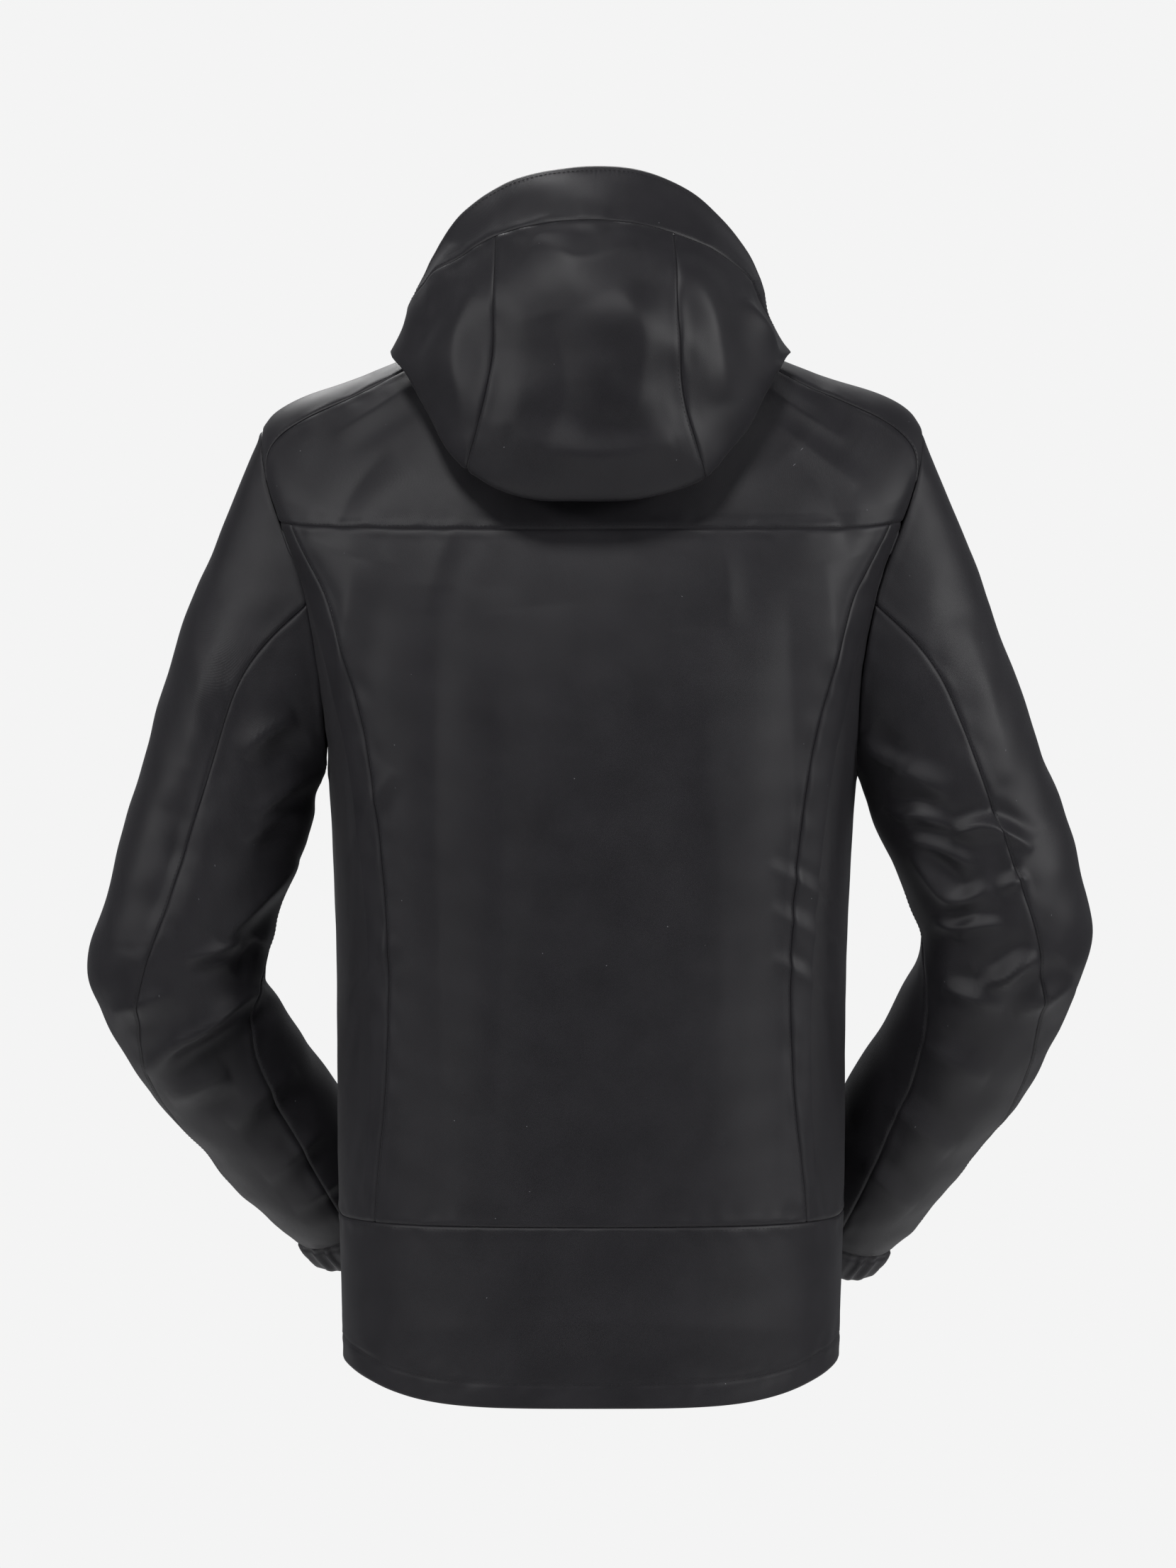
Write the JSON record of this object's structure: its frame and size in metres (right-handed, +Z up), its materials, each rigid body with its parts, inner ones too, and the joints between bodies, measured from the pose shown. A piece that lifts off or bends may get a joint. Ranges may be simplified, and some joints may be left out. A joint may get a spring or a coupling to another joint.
{
  "type": "hardshell jacket",
  "caption": "Waterproof hooded shell jacket with a full front zip, collar, two zipped hand pockets, shaped sleeves and gathered cuffs, worn shape.",
  "frame": {"origin": "middle of the neck opening, about level with the tops of the shoulders", "axes": "+Z up, the jacket's front faces -Y, the wearer's left is +X"},
  "size_m": [0.727, 0.3274, 0.8845],
  "materials": {
    "shell_cloth": "near-black woven laminate, soft satin sheen",
    "lining_cloth": "dark grey smooth backer",
    "zip_trim": "black moulded and taped trim",
    "metal_trim": "black coated zinc alloy"
  },
  "bodies": {
    "shell": {"back_yoke": "shell_cloth", "back_panel": "shell_cloth", "lower_back_panel": "shell_cloth", "shoulder_panel_left": "shell_cloth", "shoulder_panel_right": "shell_cloth", "side_panel_left": "shell_cloth", "side_panel_right": "shell_cloth", "front_panel_left": "shell_cloth", "front_panel_right": "shell_cloth", "collar_outer": "shell_cloth", "collar_lining": "lining_cloth", "chin_guard": "lining_cloth", "storm_flap": "lining_cloth", "hem_facing": "lining_cloth", "hanger_loop": "zip_trim", "main_zip_tape_left": "zip_trim", "main_zip_tape_right": "zip_trim", "main_zip_chain": "zip_trim", "main_zip_top_stop": "metal_trim", "main_zip_retainer_box": "metal_trim", "pocket_bag_left": "lining_cloth", "pocket_bag_right": "lining_cloth", "pocket_welt_left": "shell_cloth", "pocket_welt_right": "shell_cloth", "pocket_zip_left_tape_left": "zip_trim", "pocket_zip_left_tape_right": "zip_trim", "pocket_zip_left_chain": "zip_trim", "pocket_zip_left_top_stop": "metal_trim", "pocket_zip_right_tape_left": "zip_trim", "pocket_zip_right_tape_right": "zip_trim", "pocket_zip_right_chain": "zip_trim", "pocket_zip_right_top_stop": "metal_trim"},
    "hood": {"hood_brim": "shell_cloth", "hood_brim_facing": "lining_cloth", "hood_center": "shell_cloth", "hood_side_left": "shell_cloth", "hood_side_right": "shell_cloth"},
    "sleeve_left": {"top_sleeve_left": "shell_cloth", "under_sleeve_left": "shell_cloth", "cuff_band_left": "shell_cloth", "cuff_elastic_left": "zip_trim"},
    "sleeve_right": {"top_sleeve_right": "shell_cloth", "under_sleeve_right": "shell_cloth", "cuff_band_right": "shell_cloth", "cuff_elastic_right": "zip_trim"},
    "main_zip_slider": {"main_zip_slider": "metal_trim"},
    "main_zip_pull": {"main_zip_pull": "zip_trim"},
    "pocket_zip_left_slider": {"pocket_zip_left_slider": "metal_trim"},
    "pocket_zip_left_pull": {"pocket_zip_left_pull": "zip_trim"},
    "pocket_zip_right_slider": {"pocket_zip_right_slider": "metal_trim"},
    "pocket_zip_right_pull": {"pocket_zip_right_pull": "zip_trim"}
  },
  "joints": [
    {"name": "main_zip_slide", "type": "slide", "parent": "shell", "child": "main_zip_slider", "axis": [0, 0.0449, 0.999], "range_m": [-0.758, 0]},
    {"name": "main_pull_swing", "type": "hinge", "parent": "main_zip_slider", "child": "main_zip_pull", "pos_m": [0, -0.09521, 0.02715], "axis": [-1, 0, 0], "range_deg": [-3, 120]},
    {"name": "hood_fold", "type": "hinge", "parent": "shell", "child": "hood", "pos_m": [0, 0.004, 0.008], "axis": [1, 0, 0], "range_deg": [0, 55]},
    {"name": "sleeve_swing_left", "type": "hinge", "parent": "shell", "child": "sleeve_left", "pos_m": [0.238, 0, -0.05], "axis": [0, -1, 0], "range_deg": [0, 25]},
    {"name": "sleeve_swing_right", "type": "hinge", "parent": "shell", "child": "sleeve_right", "pos_m": [-0.238, 0, -0.05], "axis": [0, 1, 0], "range_deg": [0, 25]},
    {"name": "pocket_zip_slide_left", "type": "slide", "parent": "shell", "child": "pocket_zip_left_slider", "axis": [-0.1549, -0.0368, 0.9872], "range_m": [-0.148, 0]},
    {"name": "pocket_pull_swing_left", "type": "hinge", "parent": "pocket_zip_left_slider", "child": "pocket_zip_left_pull", "pos_m": [0.10577, -0.10883, -0.4069], "axis": [-0.9234, -0.3499, -0.158], "range_deg": [-3, 110]},
    {"name": "pocket_zip_slide_right", "type": "slide", "parent": "shell", "child": "pocket_zip_right_slider", "axis": [0.1549, -0.0368, 0.9872], "range_m": [-0.148, 0]},
    {"name": "pocket_pull_swing_right", "type": "hinge", "parent": "pocket_zip_right_slider", "child": "pocket_zip_right_pull", "pos_m": [-0.10577, -0.10883, -0.4069], "axis": [-0.9234, 0.3499, 0.158], "range_deg": [-3, 110]}
  ]
}
